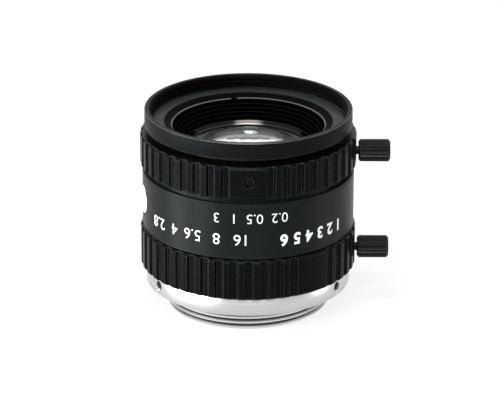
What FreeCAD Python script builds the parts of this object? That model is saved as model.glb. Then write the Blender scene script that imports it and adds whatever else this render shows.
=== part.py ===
# Fixed focal length lens for a machine vision camera, with a one-inch C-mount thread.
# Millimetres. The origin is the centre of the flange's seat, where the camera's face comes.
# +Z is the optical axis, towards the front glass. +X is the side of the two lock screws.
# The lens is drawn focused at infinity with its iris fully open.

import FreeCAD
import Part

import math
import os

from FreeCAD import Vector

# Fits between turned pieces
running_fit = 0.05          # radial, between pieces that turn or slide in each other
seat_fit = 0.03             # radial, between pieces that are screwed or pressed together
ring_play = 0.08            # axial, beside each grip ring
cut_over = 1.0              # how far a cutting shape runs past the metal
seat_width_gap = 0.1        # from a lens face's clear edge to the ring that seats on it

# Camera mount
mount_thread_radius = 12.7
mount_thread_length = 3.7
mount_thread_chamfer = 0.35
mount_thread_wall = 1.4     # from the thread to the bore behind it
thread_relief_width = 0.35
thread_relief_depth = 0.45
seat_relief_width = 0.25     # shallow recess round the thread, beside the flange's seat
seat_relief_depth = 0.15
base_height = 2.8
base_floor = 0.9            # metal under the spigot of the main barrel
base_edge = 0.15
base_step = 0.85            # the base is this much below the ribs

# Iris: six flat blades between a fixed plate and a slotted ring
blade_count = 6
iris_open_radius = 4.3
blade_width = 2.9
blade_thickness = 0.08
blade_level_step = 0.13     # each blade lies on its own level
blade_root_angle = -8.0     # degrees, from the blade's own pivot
blade_tip_angle = 118.0
blade_ear_radius = 0.6
pivot_margin = 0.8          # from the blade's outer edge to its pivot
blade_pin_radius = 0.3
blade_pin_reach = 2.3       # from the pivot to the pin that the slot drives
blade_pin_angle = 77.2      # degrees, of the driven pin about the pivot, iris open
blade_turn = 29.0           # degrees that a blade turns, from open to closed
iris_turn = 50.0            # degrees that the iris ring turns, from open to closed
pivot_hole_fit = 0.04
slot_fit = 0.05
slot_points = 9             # points along each side of a slot
slot_nudge = 0.01           # share of the slot over which its direction is taken
base_plate_thickness = 0.65
base_plate_overlap = 0.3    # the plate's hole is this much larger than the open iris
cam_plate_thickness = 0.7
cam_rim = 1.9               # from the pivots to the outside of the cam ring
cam_skirt_wall = 0.6
cam_hole_step = 2.4         # from the pivots in to the hole of the cam ring
cam_gap = 0.1               # above and below the blades
fork_end_gap = 0.1          # from the drive screw to the end of its slot in the skirt
fork_depth = 0.5            # metal of the skirt below the drive screw at near focus
cam_drive_gap = 0.2         # from the drive screw up to the plate of the cam ring
pin_end_gap = 0.1           # from the end of a blade's pin to the face of what holds it

# Barrel that holds the glass, and moves when the lens is focused
optics_wall = 3.05
focus_travel = 1.0
front_wall = 0.97
front_lip_height = 0.45
optics_low_gap = 0.8        # from the top of the base to the barrel's rear end
stage_wall = 2.35           # shoulder between the iris and the third lens
stage_thickness = 1.2
inner_lens_step = 1.2       # how much smaller the second and third lenses are than the iris bore

# Fixed barrel
neck_wall = 1.55
ring_wall = 2.1             # iris ring, from its bore to the ribs
iris_ring_height = 6.37
barrel_gap = 0.2
barrel_length = 9.05
barrel_step = 0.32          # the printed band is this much below the ribs
barrel_edge = 0.18
band_groove_inset = 0.4
band_groove_width = 0.16
band_groove_depth = 0.1
shoulder_height = 0.77
shoulder_step = 0.8
spigot_step = 0.45

# Focus ring and what carries it
sleeve_wall = 0.45
sleeve_length = 4.75
upper_neck_wall = 0.75
collar_wall = 0.62
collar_height = 1.4
focus_lip_height = 0.75
focus_ring_height = 5.1
helicoid_gap = 0.15         # between the collar and the flange of the helicoid
helicoid_top_gap = 0.15     # from the flange up to the face of the focus ring

# Grip ribs of both rings
grip_pitch = 8.0            # degrees
groove_floor = 0.88
groove_mouth = 1.44
groove_depth = 0.45
rib_chamfer = 0.28
pad_half_angle = 10.0       # a plain pad has no groove this near to its centre
lock_pad_half_angle = 7.0
pad_spacing = 120.0         # degrees between the pads of a ring
focus_pad_azimuth = -90.0   # the pad with the grub screw, at the middle of the view
iris_pad_azimuth = -53.4

# Front ring with the filter thread
front_gap = 1.05            # shows between the focus ring and the front ring
front_ring_height = 2.7
front_ring_wall = 1.08      # outside the filter thread
filter_shelf_width = 1.97   # from the ring's bore out to the filter thread
front_shelf_thickness = 0.5
front_hub_wall = 1.37
front_hub_height = 0.7
rim_chamfer = 0.45
rim_edge = 0.12

# Ridged ring that holds the front lens
retaining_rim = 0.37        # bevelled top of the ring
retaining_rim_drop = 0.18
retaining_ridges = 6
ridge_depth = 0.24
ridge_drop = 0.05
retaining_cone_width = 2.5   # from the outside of the ring in to its opening
spanner_slot_width = 1.0
spanner_slot_depth = 0.8
spanner_slot_azimuth = 101.0
front_lens_step = 1.8       # the ring's outside is this much larger than the glass
lens_ledge_drop = 0.3

# Glass: the rims' heights and each face's clear radius and sphere radius,
# where a positive sphere bulges outwards and a negative one is hollow
front_lens_rim = 3.4
front_lens_front_sphere = 28.0
front_lens_rear_sphere = 20.0
front_lens_rear_seat = 2.5   # flat seat round the rear face
second_lens_rim = 1.3
second_lens_front_sphere = -30.0
second_lens_rear_sphere = 40.0
third_lens_rim = 1.8
third_lens_front_sphere = 60.0
third_lens_rear_sphere = 40.0
fourth_lens_rim = 1.4
fourth_lens_front_sphere = 22.0
cemented_sphere = 14.0
cement_gap = 0.02
fifth_lens_rim = 2.7
fifth_lens_rear_sphere = 40.0
rear_lens_rim = 1.5
rear_lens_front_sphere = 16.0
rear_lens_rear_sphere = 60.0
lens_margin = 0.9           # from a face's clear radius to the rim
spacer_height = 2.0
second_ring_height = 1.2
rear_spacer_height = 2.55
axial_seat = 0.05           # between a lens and the ring that holds it

# Cell of the rear group
cell_flange_height = 0.7
cell_flange_step = 1.05     # wider than the bore that the cell screws into
cell_nose_gap = 0.2         # between the cell's nose and the skirt of the cam ring
cell_skirt_gap = 0.15       # under the skirt of the cam ring
cell_plate_gap = 0.25       # under the plate of the cam ring
cell_wall = 1.35
cell_lip_height = 0.75
cell_lip_width = 0.82
rear_ring_height = 1.05
rear_ring_wall = 1.1
cell_end_margin = 0.6
rear_slot_width = 0.9
rear_slot_depth = 0.45

# Screws
set_screw_radius = 0.78
set_screw_hole_fit = 0.03
screw_slot_width = 0.28
screw_slot_depth = 0.35
screw_point = 0.3           # cone point of the grub screws
base_screw_drop = 1.24      # below the top of the base
base_screw_azimuths = (-150.0, -30.0, 90.0)
base_screw_recess = 0.35
grub_height = 2.73          # above the lower face of the focus ring
grub_recess = 0.75
key_screw_radius = 0.75
key_screw_depth = 1.0       # how far its tip stands in the groove of the optics barrel
key_height = 1.95           # above the top of the base
key_end_gap = 0.1           # from the key screw to the bottom and the end of its groove
key_azimuth = -90.0
drive_drop = 1.65           # below the upper face of the iris ring
drive_radius = 0.5
drive_head_radius = 0.85
drive_head_height = 0.7
drive_head_recess = 0.35
window_clearance = 0.25

# Lock screws
lock_height_focus = 1.85    # above the lower face of the focus ring
lock_height_iris = 2.22     # above the lower face of the iris ring
lock_thread_radius = 0.8
lock_neck_radius = 0.65
lock_thread_inset = 0.1     # the thread ends this far inside the ring's wall, at both ends
lock_point_radius = 0.34
lock_point_length = 0.27
lock_point_gap = 0.03
lock_knob_gap = 0.32        # from the ribs to the knob
lock_knob_radius = 1.75
lock_knob_length = 4.9
lock_knob_chamfer = 0.3
lock_knob_flutes = 18
lock_flute_depth = 0.17
lock_flute_width = 0.36

# Radii that follow, from the axis outwards
blade_outer_radius = iris_open_radius + blade_width
pivot_radius = blade_outer_radius + pivot_margin
cam_radius = pivot_radius + cam_rim
cam_hole_radius = pivot_radius - cam_hole_step
cell_bore = cam_radius + running_fit
cell_flange_radius = cell_bore + cell_flange_step
optics_radius = cell_bore + optics_wall
guide_bore = optics_radius + running_fit
neck_radius = guide_bore + neck_wall
iris_ring_bore = neck_radius + running_fit
grip_radius = iris_ring_bore + ring_wall
barrel_radius = grip_radius - barrel_step
shoulder_radius = barrel_radius - shoulder_step
spigot_radius = neck_radius - spigot_step
base_radius = grip_radius - base_step
sleeve_radius = guide_bore + sleeve_wall
sleeve_bore = sleeve_radius + running_fit
upper_neck_radius = sleeve_bore + upper_neck_wall
collar_radius = upper_neck_radius + seat_fit + collar_wall
focus_bore = collar_radius + 2 * running_fit
front_ring_bore = optics_radius + seat_fit
front_hub_radius = front_ring_bore + front_hub_wall
filter_thread_radius = front_ring_bore + filter_shelf_width
front_ring_radius = filter_thread_radius + front_ring_wall
retaining_radius = optics_radius - front_wall - seat_fit
clear_front_radius = retaining_radius - retaining_cone_width
front_lens_radius = retaining_radius - front_lens_step
front_lens_rear_clear = front_lens_radius - front_lens_rear_seat
inner_lens_radius = cell_bore - inner_lens_step - seat_fit
cam_skirt_bore = cam_radius - cam_skirt_wall
cell_nose_radius = cam_skirt_bore - cell_nose_gap
rear_lens_radius = cell_nose_radius - cell_wall - seat_fit
mount_bore_radius = mount_thread_radius - mount_thread_wall

# Heights that follow, from the camera side forwards
iris_ring_low = base_height + ring_play
iris_ring_high = iris_ring_low + iris_ring_height
barrel_low = iris_ring_high + barrel_gap
barrel_high = barrel_low + barrel_length
shoulder_high = barrel_high + shoulder_height
focus_ring_low = shoulder_high + ring_play
focus_ring_high = focus_ring_low + focus_ring_height
collar_low = focus_ring_low + focus_lip_height + ring_play
upper_neck_high = collar_low + collar_height
flange_low = upper_neck_high + helicoid_gap
flange_high = focus_ring_high - helicoid_top_gap
front_ring_low = focus_ring_high + front_gap
front_ring_high = front_ring_low + front_ring_height
shelf_height = front_ring_low + front_shelf_thickness
optics_low = base_height + optics_low_gap
drive_level = iris_ring_high - drive_drop
cam_plate_low = drive_level + drive_radius + cam_drive_gap
cam_plate_high = cam_plate_low + cam_plate_thickness
cam_skirt_low = drive_level - focus_travel - drive_radius - fork_depth
blades_low = cam_plate_high + cam_gap
blades_high = blades_low + (blade_count - 1) * blade_level_step + blade_thickness
base_plate_low = blades_high + cam_gap
base_plate_high = base_plate_low + base_plate_thickness
third_lens_seat = base_plate_high + stage_thickness
spacer_low = third_lens_seat + third_lens_rim
second_lens_low = spacer_low + spacer_height
second_lens_high = second_lens_low + second_lens_rim
second_ring_low = second_lens_high + axial_seat
front_lens_seat = second_ring_low + second_ring_height + cam_gap
front_lens_edge = front_lens_seat + front_lens_rim
key_level = base_height + key_height
base_screw_level = base_height - base_screw_drop
cell_thread_high = cam_skirt_low - cell_skirt_gap
cell_nose_high = cam_plate_low - cell_plate_gap
fourth_lens_high = cell_nose_high - cell_lip_height
fourth_lens_low = fourth_lens_high - fourth_lens_rim
fifth_lens_high = fourth_lens_low - cement_gap
fifth_lens_low = fifth_lens_high - fifth_lens_rim
rear_spacer_low = fifth_lens_low - axial_seat - rear_spacer_height
rear_lens_high = rear_spacer_low
rear_lens_low = rear_lens_high - rear_lens_rim
rear_ring_high = rear_lens_low - axial_seat
rear_ring_low = rear_ring_high - rear_ring_height
cell_low = rear_ring_low - cell_end_margin
grub_level = focus_ring_low + grub_height
iris_drive_azimuth = iris_pad_azimuth + pad_spacing


def turned(points):
    # Solid turned about Z from a closed outline of (radius, height) points.
    corners = [Vector(radius, 0, height) for radius, height in points]
    outline = Part.makePolygon(corners + corners[:1])
    return Part.Face(outline).revolve(Vector(0, 0, 0), Vector(0, 0, 1), 360)


def spindle(points):
    # Solid turned about X from an outline of (distance, radius) points that ends on the axis.
    corners = [Vector(distance, 0, radius) for distance, radius in points]
    outline = Part.makePolygon(corners + corners[:1])
    return Part.Face(outline).revolve(Vector(0, 0, 0), Vector(1, 0, 0), 360)


def placed(shape, azimuth, height=0.0):
    # Copy of a shape drawn along +X, turned to its azimuth and lifted to its height.
    copy = shape.copy()
    copy.rotate(Vector(0, 0, 0), Vector(0, 0, 1), azimuth)
    copy.translate(Vector(0, 0, height))
    return copy


def bar(low, high, radius):
    # Round bar along +X between two distances from the axis.
    return Part.makeCylinder(radius, high - low, Vector(low, 0, 0), Vector(1, 0, 0))


def tube(inner, outer, low, high):
    return turned([(inner, low), (outer, low), (outer, high), (inner, high)])


def block(low, high):
    # Box between two opposite corners.
    size = [high[axis] - low[axis] for axis in range(3)]
    return Part.makeBox(size[0], size[1], size[2], Vector(low[0], low[1], low[2]))


def sector(inner, outer, low, high, start, end):
    # Piece of a ring between two azimuths, used to cut windows.
    up = Vector(0, 0, 1)
    base = Vector(0, 0, low)
    wedge = Part.makeCylinder(outer, high - low, base, up, end - start)
    hole = Part.makeCylinder(inner, high - low, base, up)
    return placed(wedge.cut(hole), start)


def sag(sphere, radius):
    # Depth of a spherical face at a radius, with the sign of the sphere.
    return math.copysign(abs(sphere) - math.sqrt(sphere ** 2 - radius ** 2), sphere)


def glass_height(face, rim, outward, radius):
    # Height of a lens face at a radius. A face is its (clear radius, sphere radius).
    clear, sphere = face
    return rim + outward * (sag(sphere, clear) - sag(sphere, radius))


def lens(radius, low_rim, high_rim, low_face, high_face):
    # Ground element with a cylindrical rim and a flat seat round each clear face.
    edges = []
    ends = []
    for face, rim, outward in ((low_face, low_rim, -1), (high_face, high_rim, 1)):
        clear = face[0]
        vertex = Vector(0, 0, glass_height(face, rim, outward, 0))
        middle = Vector(clear / 2, 0, glass_height(face, rim, outward, clear / 2))
        corner = Vector(clear, 0, rim)
        edges.append(Part.Arc(vertex, middle, corner).toShape())
        ends.append(vertex)
        if clear < radius:
            edges.append(Part.makeLine(corner, Vector(radius, 0, rim)))
    edges.append(Part.makeLine(Vector(radius, 0, low_rim), Vector(radius, 0, high_rim)))
    edges.append(Part.makeLine(ends[0], ends[1]))
    outline = Part.Wire(Part.__sortEdges__(edges))
    return Part.Face(outline).revolve(Vector(0, 0, 0), Vector(0, 0, 1), 360)


def azimuth_gap(first, second):
    return abs((first - second + 180.0) % 360.0 - 180.0)


def grip_grooves(low, high, pad_azimuth, plain_areas):
    # Straight grooves round a grip ring, left out where the ring is plain.
    # plain_areas holds (azimuth, half angle) pairs.
    floor_radius = grip_radius - groove_depth
    rise = (groove_mouth - groove_floor) / 2 / groove_depth
    half_mouth = groove_mouth / 2 + rise * cut_over
    corners = [
        Vector(floor_radius, -groove_floor / 2, low - cut_over),
        Vector(floor_radius, groove_floor / 2, low - cut_over),
        Vector(grip_radius + cut_over, half_mouth, low - cut_over),
        Vector(grip_radius + cut_over, -half_mouth, low - cut_over),
    ]
    section = Part.Face(Part.makePolygon(corners + corners[:1]))
    cutter = section.extrude(Vector(0, 0, high - low + 2 * cut_over))
    grooves = []
    for index in range(round(360.0 / grip_pitch)):
        azimuth = pad_azimuth + grip_pitch / 2 + index * grip_pitch
        if all(azimuth_gap(azimuth, centre) > half for centre, half in plain_areas):
            grooves.append(placed(cutter, azimuth))
    return Part.makeCompound(grooves)


def driver_slot(head):
    # Slot across the outer end of a screw that lies along +X.
    half = screw_slot_width / 2
    return block((head - screw_slot_depth, -half, -cut_over), (head + cut_over, half, cut_over))


def grub_screw(tip, head, point):
    # Headless screw along +X with a slot in its outer end and a cone point if it has one.
    outline = [(tip, 0)]
    if point:
        outline.append((tip + point, point))
    outline += [(tip + point, set_screw_radius), (head, set_screw_radius), (head, 0)]
    screw = spindle(outline)
    slot = driver_slot(head)
    return screw.cut(slot)


def mount_base():
    thread_end = -mount_thread_length
    relief_radius = mount_thread_radius - thread_relief_depth
    base = turned([
        (mount_bore_radius, thread_end),
        (mount_thread_radius - mount_thread_chamfer, thread_end),
        (mount_thread_radius, thread_end + mount_thread_chamfer),
        (mount_thread_radius, -thread_relief_width),
        (relief_radius, -thread_relief_width),
        (relief_radius, seat_relief_depth),
        (mount_thread_radius + seat_relief_width, seat_relief_depth),
        (mount_thread_radius + seat_relief_width, 0),
        (base_radius - base_edge, 0),
        (base_radius, base_edge),
        (base_radius, base_height - base_edge),
        (base_radius - base_edge, base_height),
        (spigot_radius + seat_fit, base_height),
        (spigot_radius + seat_fit, base_floor),
        (mount_bore_radius, base_floor),
    ])
    hole = bar(spigot_radius, base_radius + cut_over, set_screw_radius + set_screw_hole_fit)
    holes = [placed(hole, azimuth, base_screw_level) for azimuth in base_screw_azimuths]
    return base.cut(Part.makeCompound(holes))


def mount_set_screws():
    screw = grub_screw(spigot_radius + seat_fit, base_radius - base_screw_recess, 0)
    screws = [placed(screw, azimuth, base_screw_level) for azimuth in base_screw_azimuths]
    return Part.makeCompound(screws)


def main_barrel():
    # Spigot, neck of the iris ring, printed band, shoulder and neck of the focus ring.
    groove = band_groove_width / 2
    low_groove = barrel_low + band_groove_inset
    high_groove = barrel_high - band_groove_inset
    groove_bottom = barrel_radius - band_groove_depth
    barrel = turned([
        (guide_bore, base_floor),
        (spigot_radius, base_floor),
        (spigot_radius, base_height),
        (neck_radius, base_height),
        (neck_radius, barrel_low),
        (barrel_radius - barrel_edge, barrel_low),
        (barrel_radius, barrel_low + barrel_edge),
        (barrel_radius, low_groove - groove),
        (groove_bottom, low_groove),
        (barrel_radius, low_groove + groove),
        (barrel_radius, high_groove - groove),
        (groove_bottom, high_groove),
        (barrel_radius, high_groove + groove),
        (barrel_radius, barrel_high - barrel_edge / 2),
        (barrel_radius - barrel_edge / 2, barrel_high),
        (shoulder_radius, barrel_high),
        (shoulder_radius, shoulder_high),
        (upper_neck_radius, shoulder_high),
        (upper_neck_radius, upper_neck_high),
        (sleeve_bore, upper_neck_high),
        (sleeve_bore, flange_low - sleeve_length - ring_play),
        (guide_bore, flange_low - sleeve_length - ring_play),
    ])
    half_window = drive_radius + window_clearance
    spread = math.degrees(half_window / guide_bore)
    window = sector(
        guide_bore - cut_over, neck_radius + cut_over,
        drive_level - half_window, drive_level + half_window,
        iris_drive_azimuth - spread, iris_drive_azimuth + iris_turn + spread,
    )
    key_hole = bar(guide_bore - cut_over, neck_radius + cut_over, key_screw_radius + set_screw_hole_fit)
    return barrel.cut(Part.makeCompound([window, placed(key_hole, key_azimuth, key_level)]))


def barrel_key_screw():
    # Keeps the optics barrel from turning: its tip stands in a groove along that barrel.
    tip = optics_radius - key_screw_depth
    head = neck_radius - running_fit
    screw = bar(tip, head, key_screw_radius)
    slot = driver_slot(head)
    return placed(screw.cut(slot), key_azimuth, key_level)


def focus_retaining_ring():
    # Collar on the neck that keeps the lip of the focus ring down on its shoulder.
    return tube(upper_neck_radius + seat_fit, collar_radius, collar_low, upper_neck_high)


def focus_ring():
    ring = turned([
        (upper_neck_radius + running_fit, focus_ring_low),
        (grip_radius - rib_chamfer, focus_ring_low),
        (grip_radius, focus_ring_low + rib_chamfer),
        (grip_radius, focus_ring_high - rib_chamfer),
        (grip_radius - rib_chamfer, focus_ring_high),
        (focus_bore, focus_ring_high),
        (focus_bore, focus_ring_low + focus_lip_height),
        (upper_neck_radius + running_fit, focus_ring_low + focus_lip_height),
    ])
    pads = [(azimuth, pad_half_angle) for azimuth in focus_pad_azimuths()]
    plain = pads + [(0.0, lock_pad_half_angle)]
    grooves = grip_grooves(focus_ring_low, focus_ring_high, focus_pad_azimuth, plain)
    grub_hole = bar(focus_bore - cut_over, grip_radius + cut_over, set_screw_radius + set_screw_hole_fit)
    holes = [placed(grub_hole, azimuth, grub_level) for azimuth in focus_pad_azimuths()]
    lock_hole = bar(focus_bore - cut_over, grip_radius + cut_over, lock_thread_radius + running_fit)
    holes.append(placed(lock_hole, 0, focus_ring_low + lock_height_focus))
    return ring.cut(grooves).cut(Part.makeCompound(holes))


def focus_pad_azimuths():
    return [focus_pad_azimuth + third * pad_spacing for third in range(3)]


def focus_helicoid():
    # Nut of the focusing thread, fixed in the focus ring by three grub screws.
    # Its sleeve turns in the neck, and its thread is drawn as a plain bore.
    nut = turned([
        (guide_bore, flange_low - sleeve_length),
        (sleeve_radius, flange_low - sleeve_length),
        (sleeve_radius, flange_low),
        (focus_bore - seat_fit, flange_low),
        (focus_bore - seat_fit, flange_high),
        (guide_bore, flange_high),
    ])
    dimple = spindle([
        (focus_bore - screw_point - seat_fit, 0),
        (focus_bore + cut_over, screw_point + cut_over + seat_fit),
        (focus_bore + cut_over, 0),
    ])
    dimples = [placed(dimple, azimuth, grub_level) for azimuth in focus_pad_azimuths()]
    return nut.cut(Part.makeCompound(dimples))


def focus_grub_screws():
    screw = grub_screw(focus_bore - screw_point, grip_radius - grub_recess, screw_point)
    screws = [placed(screw, azimuth, grub_level) for azimuth in focus_pad_azimuths()]
    return Part.makeCompound(screws)


def lock_screw(point_end, ring_bore, height):
    # Thumbscrew: dog point, thread through the ring, slim neck and fluted knob.
    knob_start = grip_radius + lock_knob_gap
    knob_end = knob_start + lock_knob_length
    thread_start = max(point_end + lock_point_length, ring_bore + lock_thread_inset)
    screw = spindle([
        (point_end, 0),
        (point_end, lock_point_radius),
        (thread_start, lock_point_radius),
        (thread_start, lock_thread_radius),
        (grip_radius - lock_thread_inset, lock_thread_radius),
        (grip_radius - lock_thread_inset, lock_neck_radius),
        (knob_start, lock_neck_radius),
        (knob_start, lock_knob_radius - lock_knob_chamfer),
        (knob_start + lock_knob_chamfer, lock_knob_radius),
        (knob_end - lock_knob_chamfer, lock_knob_radius),
        (knob_end, lock_knob_radius - lock_knob_chamfer),
        (knob_end, 0),
    ])
    mouth = lock_flute_width / 2 * (1 + cut_over / lock_flute_depth)
    flute_start = knob_start - cut_over
    corners = [
        Vector(flute_start, 0, lock_knob_radius - lock_flute_depth),
        Vector(flute_start, mouth, lock_knob_radius + cut_over),
        Vector(flute_start, -mouth, lock_knob_radius + cut_over),
    ]
    section = Part.Face(Part.makePolygon(corners + corners[:1]))
    flute = section.extrude(Vector(lock_knob_length + 2 * cut_over, 0, 0))
    flutes = []
    for index in range(lock_knob_flutes):
        copy = flute.copy()
        copy.rotate(Vector(0, 0, 0), Vector(1, 0, 0), index * 360.0 / lock_knob_flutes)
        flutes.append(copy)
    return placed(screw.cut(Part.makeCompound(flutes)), 0, height)


def focus_lock_screw():
    return lock_screw(collar_radius + lock_point_gap, focus_bore, focus_ring_low + lock_height_focus)


def iris_lock_screw():
    return lock_screw(neck_radius + lock_point_gap, iris_ring_bore, iris_ring_low + lock_height_iris)


def iris_ring():
    ring = turned([
        (iris_ring_bore, iris_ring_low),
        (grip_radius - rib_chamfer, iris_ring_low),
        (grip_radius, iris_ring_low + rib_chamfer),
        (grip_radius, iris_ring_high - rib_chamfer),
        (grip_radius - rib_chamfer, iris_ring_high),
        (iris_ring_bore, iris_ring_high),
    ])
    plain = [
        (iris_pad_azimuth, pad_half_angle),
        (iris_drive_azimuth, pad_half_angle),
        (0.0, lock_pad_half_angle),
    ]
    grooves = grip_grooves(iris_ring_low, iris_ring_high, iris_pad_azimuth, plain)
    head_seat = grip_radius - drive_head_recess - drive_head_height
    shank_hole = bar(iris_ring_bore - cut_over, grip_radius, drive_radius + set_screw_hole_fit)
    head_hole = bar(head_seat, grip_radius + cut_over, drive_head_radius + set_screw_hole_fit)
    lock_hole = bar(iris_ring_bore - cut_over, grip_radius + cut_over, lock_thread_radius + running_fit)
    holes = [
        placed(shank_hole, iris_drive_azimuth, drive_level),
        placed(head_hole, iris_drive_azimuth, drive_level),
        placed(lock_hole, 0, iris_ring_low + lock_height_iris),
    ]
    return ring.cut(grooves).cut(Part.makeCompound(holes))


def iris_drive_screw():
    # Reaches through both barrels into the slot in the skirt of the cam ring.
    head_top = grip_radius - drive_head_recess
    head_seat = head_top - drive_head_height
    screw = spindle([
        (cam_skirt_bore, 0),
        (cam_skirt_bore, drive_radius),
        (head_seat, drive_radius),
        (head_seat, drive_head_radius),
        (head_top, drive_head_radius),
        (head_top, 0),
    ])
    slot = driver_slot(head_top)
    return placed(screw.cut(slot), iris_drive_azimuth, drive_level)


def optics_barrel():
    ledge = front_face_height(clear_front_radius) - lens_ledge_drop
    barrel = turned([
        (cell_bore, optics_low),
        (optics_radius, optics_low),
        (optics_radius, front_ring_low + front_lip_height),
        (retaining_radius + seat_fit, front_ring_low),
        (retaining_radius + seat_fit, ledge),
        (front_lens_radius + seat_fit, ledge),
        (front_lens_radius + seat_fit, front_lens_seat),
        (inner_lens_radius + seat_fit, front_lens_seat),
        (inner_lens_radius + seat_fit, third_lens_seat),
        (cell_bore - stage_wall, third_lens_seat),
        (cell_bore - stage_wall, base_plate_high),
        (cell_bore, base_plate_high),
    ])
    half_window = drive_radius + window_clearance
    spread = math.degrees(half_window / cell_bore)
    window = sector(
        cell_bore - cut_over, optics_radius + cut_over,
        drive_level - focus_travel - half_window, drive_level + half_window,
        iris_drive_azimuth - spread, iris_drive_azimuth + iris_turn + spread,
    )
    half_key = key_screw_radius + running_fit
    groove_bottom = optics_radius - key_screw_depth - key_end_gap
    groove_end = key_level + key_end_gap
    key_groove = block(
        (groove_bottom, -half_key, optics_low - cut_over),
        (optics_radius + cut_over, half_key, groove_end))
    key_end = bar(groove_bottom, optics_radius + cut_over, half_key)
    key_end.translate(Vector(0, 0, groove_end))
    cuts = [window, placed(key_groove, key_azimuth), placed(key_end, key_azimuth)]
    return barrel.cut(Part.makeCompound(cuts))


def front_ring():
    # Carries the filter thread, drawn as a plain bore.
    return turned([
        (front_ring_bore, front_ring_low - front_hub_height),
        (front_hub_radius, front_ring_low - front_hub_height),
        (front_hub_radius, front_ring_low),
        (front_ring_radius - rim_edge, front_ring_low),
        (front_ring_radius, front_ring_low + rim_edge),
        (front_ring_radius, front_ring_high - rim_edge),
        (front_ring_radius - rim_edge, front_ring_high),
        (filter_thread_radius + rim_chamfer, front_ring_high),
        (filter_thread_radius, front_ring_high - rim_chamfer),
        (filter_thread_radius, shelf_height),
        (front_ring_bore, shelf_height),
    ])


def front_face_height(radius):
    face = (front_lens_radius, front_lens_front_sphere)
    return glass_height(face, front_lens_edge, 1, radius)


def front_retaining_ring():
    # Screwed ring whose ridged cone keeps stray light off the front glass.
    bottom = front_face_height(clear_front_radius) + seat_fit
    top_radius = retaining_radius - retaining_rim
    top = front_ring_low - retaining_rim_drop
    outline = [
        (clear_front_radius, bottom),
        (retaining_radius, bottom),
        (retaining_radius, front_ring_low),
        (top_radius, top),
    ]
    for ridge in range(1, retaining_ridges):
        share = ridge / retaining_ridges
        radius = top_radius + (clear_front_radius - top_radius) * share
        height = top + (bottom - top) * share
        outline.append((radius + ridge_depth, height + ridge_drop + ridge_depth / 2))
        outline.append((radius, height))
    ring = turned(outline)
    half = spanner_slot_width / 2
    slot_bottom = front_ring_low - spanner_slot_depth
    slot = block(
        (-retaining_radius - cut_over, -half, slot_bottom),
        (retaining_radius + cut_over, half, front_ring_high))
    return ring.cut(placed(slot, spanner_slot_azimuth))


def front_lens():
    rear_face = (front_lens_rear_clear, front_lens_rear_sphere)
    front_face = (front_lens_radius, front_lens_front_sphere)
    return lens(front_lens_radius, front_lens_seat, front_lens_edge, rear_face, front_face)


def second_retaining_ring():
    high = second_ring_low + second_ring_height
    inner = inner_lens_radius - lens_margin + seat_width_gap
    return tube(inner, inner_lens_radius, second_ring_low, high)


def second_lens():
    clear = inner_lens_radius - lens_margin
    faces = ((clear, second_lens_rear_sphere), (clear, second_lens_front_sphere))
    return lens(inner_lens_radius, second_lens_low, second_lens_high, faces[0], faces[1])


def lens_spacer():
    inner = inner_lens_radius - lens_margin + seat_width_gap
    return tube(inner, inner_lens_radius, spacer_low, second_lens_low)


def third_lens():
    clear = inner_lens_radius - lens_margin
    rear_clear = cell_bore - stage_wall - seat_width_gap
    faces = ((rear_clear, third_lens_rear_sphere), (clear, third_lens_front_sphere))
    return lens(inner_lens_radius, third_lens_seat, spacer_low, faces[0], faces[1])


def iris_base_plate():
    hole_radius = iris_open_radius + base_plate_overlap
    plate = tube(hole_radius, cell_bore - seat_fit, base_plate_low, base_plate_high)
    pivot = Part.makeCylinder(
        blade_pin_radius + pivot_hole_fit, base_plate_thickness,
        Vector(pivot_radius, 0, base_plate_low))
    pivots = [placed(pivot, blade_azimuth(number)) for number in range(blade_count)]
    return plate.cut(Part.makeCompound(pivots))


def blade_azimuth(number):
    return number * 360.0 / blade_count


def blade_pin(turn):
    # Place of a blade's driven pin, with its pivot on +X, after a turn in degrees.
    angle = math.radians(blade_pin_angle + turn)
    return Vector(
        pivot_radius + blade_pin_reach * math.cos(angle), blade_pin_reach * math.sin(angle), 0)


def cam_slot(low, high):
    # Slot that turns a blade by blade_turn while the cam ring turns by iris_turn.
    half = blade_pin_radius + slot_fit
    sides = {1: [], -1: []}
    steps = slot_points - 1

    def centre(share):
        point = blade_pin(blade_turn * share)
        turn = math.radians(-iris_turn * share)
        return Vector(
            point.x * math.cos(turn) - point.y * math.sin(turn),
            point.x * math.sin(turn) + point.y * math.cos(turn), 0)

    def direction(share):
        return (centre(share + slot_nudge) - centre(share - slot_nudge)).normalize()

    for step in range(slot_points):
        share = step / steps
        along = direction(share)
        across = Vector(-along.y, along.x, 0)
        for side in sides:
            sides[side].append(centre(share) + across * half * side)
    curves = []
    for side in sides:
        curve = Part.BSplineCurve()
        curve.interpolate(sides[side])
        curves.append(curve.toShape())
    for end, share, outward in ((0, 0, -1), (-1, 1, 1)):
        tip = centre(share) + direction(share) * half * outward
        curves.append(Part.Arc(sides[1][end], tip, sides[-1][end]).toShape())
    outline = Part.Wire(Part.__sortEdges__(curves))
    slot = Part.Face(outline).extrude(Vector(0, 0, high - low))
    slot.translate(Vector(0, 0, low))
    return slot


def iris_cam_ring():
    ring = turned([
        (cam_hole_radius, cam_plate_low),
        (cam_skirt_bore, cam_plate_low),
        (cam_skirt_bore, cam_skirt_low),
        (cam_radius, cam_skirt_low),
        (cam_radius, cam_plate_high),
        (cam_hole_radius, cam_plate_high),
    ])
    slot = cam_slot(cam_plate_low - cut_over, cam_plate_high + cut_over)
    slots = [placed(slot, blade_azimuth(number)) for number in range(blade_count)]
    half = drive_radius + running_fit
    fork = block(
        (cam_skirt_bore - cut_over, -half, cam_skirt_low - cut_over),
        (cam_radius + cut_over, half, drive_level + drive_radius + fork_end_gap))
    slots.append(placed(fork, iris_drive_azimuth))
    return ring.cut(Part.makeCompound(slots))


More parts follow.
